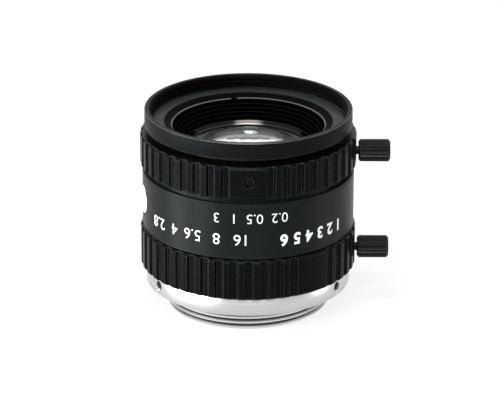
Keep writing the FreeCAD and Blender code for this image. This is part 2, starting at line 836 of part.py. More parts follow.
def strap(start, end, half_width, low, thickness):
    # Flat bar with round ends between two points.
    along = (end - start).normalize()
    across = Vector(-along.y, along.x, 0) * half_width
    corners = [start + across, end + across, end - across, start - across]
    plate = Part.Face(Part.makePolygon(corners + corners[:1])).extrude(Vector(0, 0, thickness))
    caps = [Part.makeCylinder(half_width, thickness, point) for point in (start, end)]
    plate = plate.fuse(caps)
    plate.translate(Vector(0, 0, low))
    return plate


def iris_blade(number):
    # Curved leaf on its own level: pivot pin up into the plate, driven pin down into its slot.
    low = blades_low + number * blade_level_step
    leaf = sector(
        iris_open_radius, blade_outer_radius, low, low + blade_thickness,
        blade_root_angle, blade_tip_angle)
    pivot = Vector(pivot_radius, 0, 0)
    driven = blade_pin(0)
    foot = blade_outer_radius - blade_ear_radius
    ears = [strap(pivot, driven, blade_ear_radius, low, blade_thickness)]
    for point, angle in ((pivot, 0.0), (driven, math.atan2(driven.y, driven.x))):
        root = Vector(foot * math.cos(angle), foot * math.sin(angle), 0)
        ears.append(strap(point, root, blade_ear_radius, low, blade_thickness))
    pins = [
        Part.makeCylinder(
            blade_pin_radius, base_plate_high - pin_end_gap - low, pivot + Vector(0, 0, low)),
        Part.makeCylinder(
            blade_pin_radius, low + blade_thickness - cam_plate_low - pin_end_gap,
            driven + Vector(0, 0, cam_plate_low + pin_end_gap)),
    ]
    blade = leaf.fuse(ears + pins).removeSplitter()
    return placed(blade, blade_azimuth(number))


def rear_cell():
    # Threaded into the rear of the optics barrel, with its nose inside the cam ring's skirt.
    bore = rear_lens_radius + seat_fit
    return turned([
        (bore, cell_low),
        (cell_nose_radius, cell_low),
        (cell_nose_radius, optics_low - cell_flange_height),
        (cell_flange_radius, optics_low - cell_flange_height),
        (cell_flange_radius, optics_low),
        (cell_bore - seat_fit, optics_low),
        (cell_bore - seat_fit, cell_thread_high),
        (cell_nose_radius, cell_thread_high),
        (cell_nose_radius, cell_nose_high),
        (bore - cell_lip_width, cell_nose_high),
        (bore - cell_lip_width, fourth_lens_high),
        (bore, fourth_lens_high),
    ])


def fourth_lens():
    clear = rear_lens_radius - lens_margin
    faces = ((rear_lens_radius, cemented_sphere), (clear, fourth_lens_front_sphere))
    return lens(rear_lens_radius, fourth_lens_low, fourth_lens_high, faces[0], faces[1])


def fifth_lens():
    clear = rear_lens_radius - lens_margin
    faces = ((clear, fifth_lens_rear_sphere), (rear_lens_radius, -cemented_sphere))
    return lens(rear_lens_radius, fifth_lens_low, fifth_lens_high, faces[0], faces[1])


def rear_spacer():
    inner = rear_lens_radius - lens_margin + seat_width_gap
    return tube(inner, rear_lens_radius, rear_spacer_low, rear_spacer_low + rear_spacer_height)


def rear_lens():
    clear = rear_lens_radius - lens_margin
    faces = ((clear, rear_lens_rear_sphere), (clear, rear_lens_front_sphere))
    return lens(rear_lens_radius, rear_lens_low, rear_lens_high, faces[0], faces[1])


def rear_retaining_ring():
    ring = turned([
        (rear_lens_radius - rear_ring_wall, rear_ring_high),
        (rear_lens_radius - rear_ring_wall / 2, rear_ring_low),
        (rear_lens_radius, rear_ring_low),
        (rear_lens_radius, rear_ring_high),
    ])
    half = rear_slot_width / 2
    slot = block(
        (-rear_lens_radius - cut_over, -half, rear_ring_low - cut_over),
        (rear_lens_radius + cut_over, half, rear_ring_low + rear_slot_depth))
    return ring.cut(slot)


def export(name, shape):
    print(name, "solids", len(shape.Solids), "volume", round(shape.Volume, 2), "valid", shape.isValid())
    shape.exportStep("parts/" + name + ".step")


os.makedirs("parts", exist_ok=True)
single_pieces = (
    mount_base, mount_set_screws, main_barrel, barrel_key_screw, focus_retaining_ring,
    focus_ring, focus_helicoid, focus_grub_screws, focus_lock_screw,
    iris_ring, iris_drive_screw, iris_lock_screw,
    optics_barrel, front_ring, front_retaining_ring, front_lens, second_retaining_ring,
    second_lens, lens_spacer, third_lens, iris_base_plate, iris_cam_ring,
    rear_cell, fourth_lens, fifth_lens, rear_spacer, rear_lens, rear_retaining_ring,
)
for piece in single_pieces:
    export(piece.__name__, piece())
for number in range(blade_count):
    export("iris_blade_" + str(number + 1), iris_blade(number))
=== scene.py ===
# Machine vision lens with a C-mount thread: finishes, threads, print, light and camera.
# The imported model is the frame, in metres, with +Z along the optical axis.

import math

import bmesh
import bpy
from mathutils import Matrix, Vector


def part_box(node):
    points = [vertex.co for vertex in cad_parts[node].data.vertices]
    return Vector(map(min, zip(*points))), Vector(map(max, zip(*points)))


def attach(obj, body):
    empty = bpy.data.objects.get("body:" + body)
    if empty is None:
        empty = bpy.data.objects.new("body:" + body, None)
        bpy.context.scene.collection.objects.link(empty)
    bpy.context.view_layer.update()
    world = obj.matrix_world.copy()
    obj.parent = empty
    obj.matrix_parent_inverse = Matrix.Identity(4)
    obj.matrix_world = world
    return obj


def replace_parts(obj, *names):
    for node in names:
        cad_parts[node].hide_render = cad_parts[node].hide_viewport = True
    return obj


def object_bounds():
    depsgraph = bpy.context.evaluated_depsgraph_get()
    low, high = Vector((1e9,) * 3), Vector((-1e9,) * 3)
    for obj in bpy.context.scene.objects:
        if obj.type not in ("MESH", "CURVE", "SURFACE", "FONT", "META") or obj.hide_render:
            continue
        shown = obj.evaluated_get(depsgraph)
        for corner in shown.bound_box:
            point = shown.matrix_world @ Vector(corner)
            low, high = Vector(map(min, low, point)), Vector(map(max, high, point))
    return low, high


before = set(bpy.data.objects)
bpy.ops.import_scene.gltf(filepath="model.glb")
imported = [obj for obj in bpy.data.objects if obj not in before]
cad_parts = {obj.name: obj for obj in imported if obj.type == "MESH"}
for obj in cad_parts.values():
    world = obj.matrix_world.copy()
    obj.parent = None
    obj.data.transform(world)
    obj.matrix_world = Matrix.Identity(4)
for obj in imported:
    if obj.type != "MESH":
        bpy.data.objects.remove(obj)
cadBox = [list(corner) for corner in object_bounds()]
scene = bpy.context.scene
mm = 0.001
weldWithin = 0.0005 * mm
cutWithin = 0.0001 * mm


# Node groups that several finishes share

def newGroup(name, inputs, outputs):
    group = bpy.data.node_groups.new(name, "ShaderNodeTree")
    for label, value in inputs.items():
        socket = group.interface.new_socket(name=label, in_out="INPUT", socket_type="NodeSocketFloat")
        socket.default_value = value
    for label, kind in outputs.items():
        group.interface.new_socket(name=label, in_out="OUTPUT", socket_type=kind)
    return group, group.nodes.new("NodeGroupInput"), group.nodes.new("NodeGroupOutput")


def mathNode(tree, operation, first, second=None):
    node = tree.nodes.new("ShaderNodeMath")
    node.operation = operation
    for socket, value in zip(node.inputs, (first, second)):
        if isinstance(value, (int, float)):
            socket.default_value = value
        elif value is not None:
            tree.links.new(value, socket)
    return node.outputs[0]


def noiseNode(tree, coordinate, scale, detail, dimensions="3D"):
    node = tree.nodes.new("ShaderNodeTexNoise")
    node.noise_dimensions = dimensions
    node.inputs["Scale"].default_value = scale
    node.inputs["Detail"].default_value = detail
    tree.links.new(coordinate, node.inputs["W" if dimensions == "1D" else "Vector"])
    return node.outputs["Fac"]


def axisDistance(tree, split):
    # Distance from the lens axis of the place that a Separate XYZ node takes apart.
    across = mathNode(tree, "MULTIPLY", split.outputs["X"], split.outputs["X"])
    along = mathNode(tree, "MULTIPLY", split.outputs["Y"], split.outputs["Y"])
    return mathNode(tree, "SQRT", mathNode(tree, "ADD", across, along))


turningLook = {"waveScale": 90.0, "ringScale": 1.0, "detail": 2.0, "ringShare": 0.6, "waveShare": 0.8}
grainLook = {"cloudScale": 700.0, "detail": 2.0, "fineShare": 0.7, "cloudShare": 0.3}


def turningMarks(look):
    # Fine rings round the lens axis, as a lathe leaves them on walls and on faces.
    group, given, result = newGroup(
        "Turning Marks", {"Spacing": 0.1, "Drift": 0.35},
        {"Height": "NodeSocketFloat", "Tone": "NodeSocketFloat"})
    place = group.nodes.new("ShaderNodeTexCoord").outputs["Object"]
    split = group.nodes.new("ShaderNodeSeparateXYZ")
    group.links.new(place, split.inputs[0])
    path = mathNode(group, "ADD", axisDistance(group, split), split.outputs["Z"])
    lines = mathNode(group, "DIVIDE", mathNode(group, "MULTIPLY", path, 1 / mm), given.outputs["Spacing"])
    waves = noiseNode(group, place, look["waveScale"], look["detail"])
    drift = mathNode(group, "MULTIPLY", waves, given.outputs["Drift"])
    rings = noiseNode(group, mathNode(group, "ADD", lines, drift), look["ringScale"], look["detail"], "1D")
    group.links.new(rings, result.inputs["Height"])
    tone = mathNode(group, "ADD", mathNode(group, "MULTIPLY", rings, look["ringShare"]),
                    mathNode(group, "MULTIPLY", drift, look["waveShare"]))
    group.links.new(tone, result.inputs["Tone"])
    return group


def blastedGrain(look):
    # Tiny dimples of a surface that was bead blasted before it was anodised.
    group, given, result = newGroup(
        "Blasted Grain", {"Scale": 5200.0},
        {"Height": "NodeSocketFloat", "Tone": "NodeSocketFloat"})
    place = group.nodes.new("ShaderNodeTexCoord").outputs["Object"]
    fine = group.nodes.new("ShaderNodeTexNoise")
    fine.inputs["Detail"].default_value = look["detail"]
    group.links.new(place, fine.inputs["Vector"])
    group.links.new(given.outputs["Scale"], fine.inputs["Scale"])
    cloud = noiseNode(group, place, look["cloudScale"], look["detail"])
    group.links.new(fine.outputs["Fac"], result.inputs["Height"])
    tone = mathNode(group, "ADD", mathNode(group, "MULTIPLY", fine.outputs["Fac"], look["fineShare"]),
                    mathNode(group, "MULTIPLY", cloud, look["cloudShare"]))
    group.links.new(tone, result.inputs["Tone"])
    return group


def softEdge():
    # Rounds the shading of sharp edges a little and masks the edges, which the finishes paint paler: partly
    # where the finish is rubbed thin, partly as a painted highlight.
    group, given, result = newGroup(
        "Soft Edge", {"Radius": 0.07 * mm, "Sharpness": 2.0},
        {"Normal": "NodeSocketVector", "Mask": "NodeSocketFloat"})
    bevel = group.nodes.new("ShaderNodeBevel")
    bevel.samples = 6
    group.links.new(given.outputs["Radius"], bevel.inputs["Radius"])
    facing = group.nodes.new("ShaderNodeNewGeometry")
    dot = group.nodes.new("ShaderNodeVectorMath")
    dot.operation = "DOT_PRODUCT"
    group.links.new(bevel.outputs["Normal"], dot.inputs[0])
    group.links.new(facing.outputs["Normal"], dot.inputs[1])
    bend = mathNode(group, "SUBTRACT", 1.0, dot.outputs["Value"])
    mask = mathNode(group, "MINIMUM", mathNode(group, "MULTIPLY", bend, given.outputs["Sharpness"]), 1.0)
    group.links.new(bevel.outputs["Normal"], result.inputs["Normal"])
    group.links.new(mask, result.inputs["Mask"])
    return group


sharedGroups = {"turning": turningMarks(turningLook), "grain": blastedGrain(grainLook), "edge": softEdge()}
print("groups ready")


# Finishes, one dictionary each

toneRange = (0.3, 0.7)
coatTint = (0.88, 0.98, 1.0)
quarterTurn = 0.25


def newMaterial(name):
    material = bpy.data.materials.new(name)
    material.use_nodes = True
    tree = material.node_tree
    return material, tree, tree.nodes["Principled BSDF"]


def placeGroup(tree, name, **values):
    node = tree.nodes.new("ShaderNodeGroup")
    node.node_tree = sharedGroups[name]
    for label, value in values.items():
        node.inputs[label].default_value = value
    return node


def blend(tree, factor, first, second):
    mix = tree.nodes.new("ShaderNodeMix")
    mix.data_type = "RGBA"
    for socket, value in ((mix.inputs[6], first), (mix.inputs[7], second)):
        if isinstance(value, tuple):
            socket.default_value = (*value, 1.0)
        else:
            tree.links.new(value, socket)
    tree.links.new(factor, mix.inputs[0])
    return mix.outputs[2]


def span(tree, value, low, high):
    # Spreads the tones of a relief, which lie round the middle, between two values.
    node = tree.nodes.new("ShaderNodeMapRange")
    node.inputs["From Min"].default_value, node.inputs["From Max"].default_value = toneRange
    node.inputs["To Min"].default_value = low
    node.inputs["To Max"].default_value = high
    tree.links.new(value, node.inputs["Value"])
    return node.outputs["Result"]


def finish(name, look):
    # Material of a metal surface: tone and roughness that vary, fine relief, and edges painted paler,
    # partly as rubbed wear and partly as a painted highlight.
    material, tree, shader = newMaterial(name)
    shader.inputs["Metallic"].default_value = look["metallic"]
    shader.inputs["Specular IOR Level"].default_value = look["specular"]
    if look["metallic"] < 0.5:
        shader.inputs["Specular Tint"].default_value = (*coatTint, 1.0)
    shader.inputs["Anisotropic"].default_value = look.get("brushed", 0.0)
    shader.inputs["Anisotropic Rotation"].default_value = quarterTurn
    relief = placeGroup(tree, look["relief"], **look["reliefValues"])
    edge = placeGroup(tree, "edge", Radius=look["edgeRadius"] * mm, Sharpness=look["edgeSharpness"])
    ground = blend(tree, relief.outputs["Tone"], look["dark"], look["light"])
    # Paler edges: partly rubbed finish, partly a painted highlight where light would catch them.
    tree.links.new(blend(tree, edge.outputs["Mask"], ground, look["edgeWearAndHighlight"]), shader.inputs["Base Color"])
    tree.links.new(span(tree, relief.outputs["Tone"], *look["roughness"]), shader.inputs["Roughness"])
    bump = tree.nodes.new("ShaderNodeBump")
    bump.inputs["Strength"].default_value = look["bump"]
    bump.inputs["Distance"].default_value = look["bumpDepth"] * mm
    tree.links.new(relief.outputs["Height"], bump.inputs["Height"])
    tree.links.new(edge.outputs["Normal"], bump.inputs["Normal"])
    tree.links.new(bump.outputs["Normal"], shader.inputs["Normal"])
    return material


# Each look's edge colour stands partly for wear and partly for a painted highlight along the edges.
bandLook = {
    "dark": (0.0014, 0.0018, 0.0019), "light": (0.0045, 0.0054, 0.0056), "edgeWearAndHighlight": (0.03, 0.033, 0.034),
    "metallic": 0.0, "specular": 0.115, "roughness": (0.34, 0.5),
    "bump": 1.0, "bumpDepth": 0.02, "brushed": 0.75,
    "relief": "grain", "reliefValues": {"Scale": 3400.0},
    "edgeRadius": 0.09, "edgeSharpness": 2.0,
}
ribLook = {
    "dark": (0.0005, 0.0006, 0.0007), "light": (0.0016, 0.0019, 0.002), "edgeWearAndHighlight": (0.16, 0.167, 0.169),
    "metallic": 0.0, "specular": 0.06, "roughness": (0.22, 0.33),
    "bump": 0.3, "bumpDepth": 0.008, "brushed": 0.75,
    "relief": "grain", "reliefValues": {"Scale": 6000.0},
    "edgeRadius": 0.09, "edgeSharpness": 1.8,
}
rimLook = {
    "dark": (0.002, 0.0023, 0.0025), "light": (0.0045, 0.005, 0.0052), "edgeWearAndHighlight": (0.24, 0.25, 0.252),
    "metallic": 0.0, "specular": 0.042, "roughness": (0.36, 0.46),
    "bump": 0.3, "bumpDepth": 0.006, "brushed": 0.2,
    "relief": "turning", "reliefValues": {"Spacing": 0.12, "Drift": 0.5},
    "edgeRadius": 0.12, "edgeSharpness": 5.0,
}
edgeLook = {
    "dark": (0.045, 0.048, 0.05), "light": (0.085, 0.09, 0.092), "edgeWearAndHighlight": (0.1, 0.105, 0.106),
    "metallic": 0.9, "specular": 0.3, "roughness": (0.28, 0.4),
    "bump": 0.2, "bumpDepth": 0.004,
    "relief": "grain", "reliefValues": {"Scale": 2500.0},
    "edgeRadius": 0.03, "edgeSharpness": 1.0,
}
# The up-facing shelf inside the front ring is a paler copy of the ring's black: light from above painted
# into its colour.
paintedLitShelfLook = {
    "dark": (0.008, 0.009, 0.0095), "light": (0.017, 0.019, 0.0195), "edgeWearAndHighlight": (0.035, 0.038, 0.039),
    "metallic": 0.0, "specular": 0.17, "roughness": (0.42, 0.55),
    "bump": 0.35, "bumpDepth": 0.006,
    "relief": "grain", "reliefValues": {"Scale": 5000.0},
    "edgeRadius": 0.05, "edgeSharpness": 2.0,
}
innerLook = {
    "dark": (0.0005, 0.0005, 0.0005), "light": (0.0013, 0.0013, 0.0013), "edgeWearAndHighlight": (0.012, 0.0125, 0.013),
    "metallic": 0.0, "specular": 0.016, "roughness": (0.4, 0.55),
    "bump": 0.3, "bumpDepth": 0.006,
    "relief": "turning", "reliefValues": {"Spacing": 0.12, "Drift": 0.5},
    "edgeRadius": 0.07, "edgeSharpness": 2.0,
}
silverLook = {
    "dark": (0.42, 0.424, 0.428), "light": (0.7, 0.705, 0.71), "edgeWearAndHighlight": (0.8, 0.8, 0.8),
    "metallic": 1.0, "specular": 0.5, "roughness": (0.3, 0.44),
    "bump": 0.5, "bumpDepth": 0.01, "brushed": 0.6,
    "relief": "turning", "reliefValues": {"Spacing": 0.2, "Drift": 0.3},
    "edgeRadius": 0.06, "edgeSharpness": 1.2,
}
steelLook = {
    "dark": (0.0012, 0.0012, 0.0014), "light": (0.004, 0.004, 0.0044), "edgeWearAndHighlight": (0.24, 0.245, 0.25),
    "metallic": 0.0, "specular": 0.065, "roughness": (0.18, 0.26),
    "bump": 0.2, "bumpDepth": 0.005,
    "relief": "grain", "reliefValues": {"Scale": 6000.0},
    "edgeRadius": 0.06, "edgeSharpness": 3.0,
}
bladeLook = {
    "dark": (0.012, 0.012, 0.013), "light": (0.03, 0.03, 0.031), "edgeWearAndHighlight": (0.08, 0.08, 0.08),
    "metallic": 0.6, "specular": 0.4, "roughness": (0.35, 0.5),
    "bump": 0.15, "bumpDepth": 0.003,
    "relief": "grain", "reliefValues": {"Scale": 9000.0},
    "edgeRadius": 0.03, "edgeSharpness": 1.0,
}
brassLook = {
    "dark": (0.006, 0.005, 0.003), "light": (0.014, 0.011, 0.007), "edgeWearAndHighlight": (0.05, 0.04, 0.025),
    "metallic": 0.5, "specular": 0.2, "roughness": (0.3, 0.45),
    "bump": 0.3, "bumpDepth": 0.006,
    "relief": "turning", "reliefValues": {"Spacing": 0.08, "Drift": 0.4},
    "edgeRadius": 0.05, "edgeSharpness": 1.0,
}
printLook = {
    "dark": (0.6, 0.61, 0.61), "light": (0.74, 0.75, 0.75), "edgeWearAndHighlight": (0.72, 0.72, 0.72),
    "metallic": 0.0, "specular": 0.3, "roughness": (0.45, 0.6),
    "bump": 0.2, "bumpDepth": 0.004,
    "relief": "grain", "reliefValues": {"Scale": 6000.0},
    "edgeRadius": 0.02, "edgeSharpness": 0.5,
}
# Ridged finish: its crest colour is a painted highlight, and its rubbed mouth edge partly one.
ridgedLook = {
    "rim": 11.63, "mouth": 9.5, "ridges": 6, "crestHighlightShare": 0.1,
    "crestHighlight": (0.013, 0.014, 0.014), "black": (0.0003, 0.0003, 0.0003),
    "bevelFrom": 11.78, "bevelFade": 0.03, "bevel": (0.12, 0.124, 0.124),
    "land": 9.86, "mouthEdge": 9.55, "landFade": 0.02,
    "polished": (0.016, 0.0141, 0.0126), "rubbedAndHighlight": (0.06, 0.0615, 0.0625),
    "specular": 0.0, "roughness": (0.2, 0.3), "smoother": 0.35, "marks": {"Spacing": 0.08, "Drift": 0.4},
}
# The dark root colour of the thread is painted shade in its grooves.
threadLook = {
    "root": 12.25, "crest": 12.66, "paintedRootShade": (0.07, 0.072, 0.075), "bright": (0.8, 0.805, 0.81),
    "roughness": (0.22, 0.34), "marks": {"Spacing": 0.05, "Drift": 0.4},
}
glassLook = {"ior": 1.72, "tint": (0.965, 0.982, 0.98), "cloudScale": 250.0, "cleaner": 1.03}


def glassFinish(name, look):
    # Polished glass, very slightly tinted by its coating.
    material, tree, shader = newMaterial(name)
    shader.inputs["Transmission Weight"].default_value = 1.0
    shader.inputs["IOR"].default_value = look["ior"]
    shader.inputs["Roughness"].default_value = 0.0
    relief = placeGroup(tree, "grain", Scale=look["cloudScale"])
    clean = tuple(min(1.0, part * look["cleaner"]) for part in look["tint"])
    tree.links.new(blend(tree, relief.outputs["Tone"], look["tint"], clean), shader.inputs["Base Color"])
    return material


def byRadius(tree, start, end):
    # Rises from 0 to 1 between two distances from the lens axis.
    split = tree.nodes.new("ShaderNodeSeparateXYZ")
    tree.links.new(tree.nodes.new("ShaderNodeTexCoord").outputs["Object"], split.inputs[0])
    rise = tree.nodes.new("ShaderNodeMapRange")
    rise.inputs["From Min"].default_value = start * mm
    rise.inputs["From Max"].default_value = end * mm
    tree.links.new(axisDistance(tree, split), rise.inputs["Value"])
    return rise.outputs["Result"]


def ridgedFinish(name, look):
    # Black ridges with painted highlights as paler lines on their crests, between a bright bevelled rim and
    # a polished land at the mouth, whose edge is paler, partly rubbed and partly a painted highlight.
    material, tree, shader = newMaterial(name)
    shader.inputs["Specular IOR Level"].default_value = look["specular"]
    relief = placeGroup(tree, "turning", **look["marks"])
    steps = mathNode(tree, "MULTIPLY", byRadius(tree, look["rim"], look["mouth"]), look["ridges"])
    # Pale lines on the ridge crests are painted highlights.
    crest = mathNode(tree, "GREATER_THAN", mathNode(tree, "FRACT", steps), 1.0 - look["crestHighlightShare"])
    ground = blend(tree, crest, look["black"], look["crestHighlight"])
    fade = look["bevelFade"]
    rim = byRadius(tree, look["bevelFrom"] - fade, look["bevelFrom"] + fade)
    fade = look["landFade"]
    land = byRadius(tree, look["land"] + fade, look["land"] - fade)
    ground = blend(tree, land, ground, look["polished"])
    # Paler mouth edge: partly rubbed wear, partly a painted highlight.
    edge = byRadius(tree, look["mouthEdge"] + fade, look["mouthEdge"] - fade)
    ground = blend(tree, edge, ground, look["rubbedAndHighlight"])
    tree.links.new(blend(tree, rim, ground, look["bevel"]), shader.inputs["Base Color"])
    tree.links.new(mathNode(tree, "MAXIMUM", rim, land), shader.inputs["Metallic"])
    smoother = mathNode(tree, "SUBTRACT", 1.0, mathNode(tree, "MULTIPLY", land, look["smoother"]))
    roughness = span(tree, relief.outputs["Tone"], *look["roughness"])
    tree.links.new(mathNode(tree, "MULTIPLY", roughness, smoother), shader.inputs["Roughness"])
    return material


def threadFinish(name, look):
    # Bright crests over roots painted dark, a painted shade in the grooves, by the distance from the lens
    # axis.
    material, tree, shader = newMaterial(name)
    shader.inputs["Metallic"].default_value = 1.0
    rootShade = byRadius(tree, look["root"], look["crest"])
    relief = placeGroup(tree, "turning", **look["marks"])
    tree.links.new(blend(tree, rootShade, look["paintedRootShade"], look["bright"]), shader.inputs["Base Color"])
    tree.links.new(span(tree, relief.outputs["Tone"], *look["roughness"]), shader.inputs["Roughness"])
    return material


finishes = {
    "band": finish("bandAnodised", bandLook),
    "ribs": finish("ribAnodised", ribLook),
    "rim": finish("rimAnodised", rimLook),
    "edge": finish("rubbedEdge", edgeLook),
    "shelf": finish("shelfAnodisedPaintedLight", paintedLitShelfLook),
    "inner": finish("innerBlack", innerLook),
    "silver": finish("turnedSilver", silverLook),
    "steel": finish("blackSteel", steelLook),
    "blades": finish("bladeSteel", bladeLook),
    "brass": finish("turnedBrass", brassLook),
    "print": finish("whitePrint", printLook),
    "ridged": ridgedFinish("ridgedBlack", ridgedLook),
    "thread": threadFinish("threadSilver", threadLook),
    "glass": glassFinish("coatedGlass", glassLook),
}

cadFinishes = {
    "band": ["main_barrel"],
    "ribs": ["focus_ring", "iris_ring"],
    "rim": ["front_ring"],
    "ridged": ["front_retaining_ring"],
    "inner": ["optics_barrel", "second_retaining_ring", "lens_spacer", "rear_cell", "rear_spacer",
              "rear_retaining_ring", "iris_base_plate", "iris_cam_ring", "focus_retaining_ring"],
    "silver": ["mount_base"],
    "steel": ["mount_set_screws", "barrel_key_screw", "focus_grub_screws", "iris_drive_screw",
              "focus_lock_screw", "iris_lock_screw"],
    "blades": ["iris_blade_" + str(number) for number in range(1, 7)],
    "brass": ["focus_helicoid"],
    "glass": ["front_lens", "second_lens", "third_lens", "fourth_lens", "fifth_lens", "rear_lens"],
}
for key, nodes in cadFinishes.items():
    for node in nodes:
        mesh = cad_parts[node].data
        mesh.materials.clear()
        mesh.materials.append(finishes[key])
print("finishes ready")


# Pieces made here

def meshPiece(name, shape, looks, body, smoothAngle=35.0):
    # Turns a bmesh into an object at the origin that rides on a body of the lens.
    mesh = bpy.data.meshes.new(name)
    shape.to_mesh(mesh)
    shape.free()
    mesh.shade_smooth()
    mesh.set_sharp_from_angle(angle=math.radians(smoothAngle))
    for key in looks.split():
        mesh.materials.append(finishes[key])
    piece = bpy.data.objects.new(name, mesh)
    scene.collection.objects.link(piece)
    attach(piece, body)
    return piece


def turnedShape(outline, steps, closed=True):
    # Turned about the lens axis from (radius, height) points in millimetres.
    shape = bmesh.new()
    corners = [shape.verts.new((radius * mm, 0, height * mm)) for radius, height in outline]
    first = 0 if closed else 1
    sides = [shape.edges.new((corners[index - 1], corners[index])) for index in range(first, len(corners))]
    bmesh.ops.spin(shape, geom=corners + sides, cent=(0, 0, 0), axis=(0, 0, 1),
                   angle=2 * math.pi, steps=steps, use_merge=True, use_duplicate=False)
    bmesh.ops.recalc_face_normals(shape, faces=shape.faces)
    return shape


def softenRims(shape, width, segments, sharpAngle=20.0):
    # Small rounds along the turned edges.
    edges = [edge for edge in shape.edges
             if len(edge.link_faces) == 2 and edge.calc_face_angle(0.0) > math.radians(sharpAngle)]
    bmesh.ops.bevel(shape, geom=edges, offset=width * mm, offset_type="OFFSET", segments=segments,
                    profile=0.5, affect="EDGES", material=-1, clamp_overlap=True)


def keepAbove(shape, height):
    # Cuts off what is lower and gives back the edges of the cut.
    everything = shape.verts[:] + shape.edges[:] + shape.faces[:]
    bmesh.ops.bisect_plane(shape, geom=everything, dist=cutWithin, plane_co=(0, 0, height),
                           plane_no=(0, 0, 1), clear_inner=True)
    return [edge for edge in shape.edges if edge.is_boundary]


ridgeLook = {"sunk": 0.15, "footShare": 0.98}


def threadRidge(look):
    # Helical ridge of a thread: a trapezium swept up the helix, thinned out at both ends.
    shape = bmesh.new()
    sunk = look["root"] + (look["root"] - look["crest"]) * ridgeLook["sunk"]
    foot = look["pitch"] / 2 * ridgeLook["footShare"]
    tip = look["pitch"] / 2 * look["crestShare"]
    section = ((sunk, -foot), (look["crest"], -tip), (look["crest"], tip), (sunk, foot))
    corners = [shape.verts.new((radius * mm, 0, (look["low"] + height) * mm)) for radius, height in section]
    sides = [shape.edges.new((corners[index - 1], corners[index])) for index in range(4)]
    turns = (look["high"] - look["low"]) / look["pitch"]
    steps = round(turns * look["stepsPerTurn"])
    bmesh.ops.spin(shape, geom=corners + sides, cent=(0, 0, 0), axis=(0, 0, 1),
                   dvec=(0, 0, look["pitch"] * turns / steps * mm), angle=2 * math.pi * turns,
                   steps=steps, use_merge=False, use_duplicate=False)
    for vertex in shape.verts:
        radius = math.hypot(vertex.co.x, vertex.co.y) / mm
        if abs(radius - sunk) < abs(radius - look["crest"]):
            continue
        azimuth = math.atan2(vertex.co.y, vertex.co.x) % (2 * math.pi) / (2 * math.pi)
        height = (vertex.co.z / mm - look["low"]) / look["pitch"]
        turn = azimuth + round(height - azimuth)
        thin = min(1.0, max(0.0, turn / look["runOut"]), max(0.0, (turns - turn) / look["runOut"]))
        wanted = look["root"] + (radius - look["root"]) * thin
        vertex.co.x *= wanted / radius
        vertex.co.y *= wanted / radius
    ends = [edge for edge in shape.edges if edge.is_boundary]
    bmesh.ops.holes_fill(shape, edges=ends, sides=4)
    bmesh.ops.recalc_face_normals(shape, faces=shape.faces)
    return shape


def joinShapes(*shapes):
    # Puts several closed shapes into one.
    whole = shapes[0]
    for shape in shapes[1:]:
        mesh = bpy.data.meshes.new("part")
        shape.to_mesh(mesh)
        shape.free()
        whole.from_mesh(mesh)
        bpy.data.meshes.remove(mesh)
    return whole


# Silver base with its mounting thread

mountLook = {
    "cutHeight": -0.3, "weld": 0.001, "threadEnd": -3.7, "chamfer": 0.35,
    "bore": 11.3, "coreTop": -0.25, "coreChamfer": 0.12, "segments": 192, "smoothAngle": 30.0,
    "thread": {"root": 12.22, "crest": 12.7, "pitch": 0.794, "crestShare": 0.16,
               "low": -3.95, "high": -0.62, "stepsPerTurn": 160, "runOut": 0.3},
}


def mountPiece(look):
    # The frame's base above the cut, with a core and a real thread below it.
    base = bmesh.new()
    base.from_mesh(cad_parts["mount_base"].data)
    bmesh.ops.remove_doubles(base, verts=base.verts, dist=look["weld"] * mm)
    bmesh.ops.bridge_loops(base, edges=keepAbove(base, look["cutHeight"] * mm))
    thread = look["thread"]
    end = look["threadEnd"]
    chamfer = look["coreChamfer"]
    core = turnedShape([
        (look["bore"], end), (thread["root"] - chamfer, end), (thread["root"], end + chamfer),
        (thread["root"], look["coreTop"]), (look["bore"], look["coreTop"])], look["segments"])
    ridge = threadRidge(thread)
    limit = thread["crest"] - look["chamfer"]
    for vertex in ridge.verts:
        radius = math.hypot(vertex.co.x, vertex.co.y) / mm
        allowed = limit + max(0.0, vertex.co.z / mm - end)
        if radius > allowed:
            vertex.co.x *= allowed / radius
            vertex.co.y *= allowed / radius
    bmesh.ops.holes_fill(ridge, edges=keepAbove(ridge, end * mm), sides=0)
    for shape in (core, ridge):
        for face in shape.faces:
            face.material_index = 1
    whole = joinShapes(base, core, ridge)
    return meshPiece("mountBody", whole, "silver thread", "root", look["smoothAngle"])


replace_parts(mountPiece(mountLook), "mount_base")


# Front ring with its filter thread

frontLook = {
    "outer": 16.08, "bore": 13.03, "hub": 14.4, "hubDepth": 0.7, "shelf": 0.5,
    "wall": 15.27, "threadLow": 0.62, "threadHigh": 2.2, "lip": 15.0, "rimInner": 15.45,
    "edge": 0.12, "soft": 0.05, "softSegments": 2, "segments": 256, "lipDepth": 0.45, "threadMargin": 0.2,
    "chamferSlope": (0.25, 0.95), "inwardShare": 0.3, "levelWithin": 0.02, "flatFrom": 0.9,
    "thread": {"pitch": 0.5, "crestShare": 0.2, "stepsPerTurn": 160, "runOut": 0.3},
}


def rimFinish(face, look, shelf, top):
    # Which of the front ring's four finishes a face takes, by where it is and where it looks.
    middle = face.calc_center_median()
    height = middle.z / mm
    outward = middle.x * face.normal.x + middle.y * face.normal.y
    least, most = look["chamferSlope"]
    if height > top - look["edge"] and least < face.normal.z < most:
        return 3
    if outward < -look["inwardShare"] * math.hypot(middle.x, middle.y):
        return 1
    # The up-facing shelf takes the paler black that paints in light from above.
    if abs(height - shelf) < look["levelWithin"] and face.normal.z > look["flatFrom"]:
        return 2
    return 0


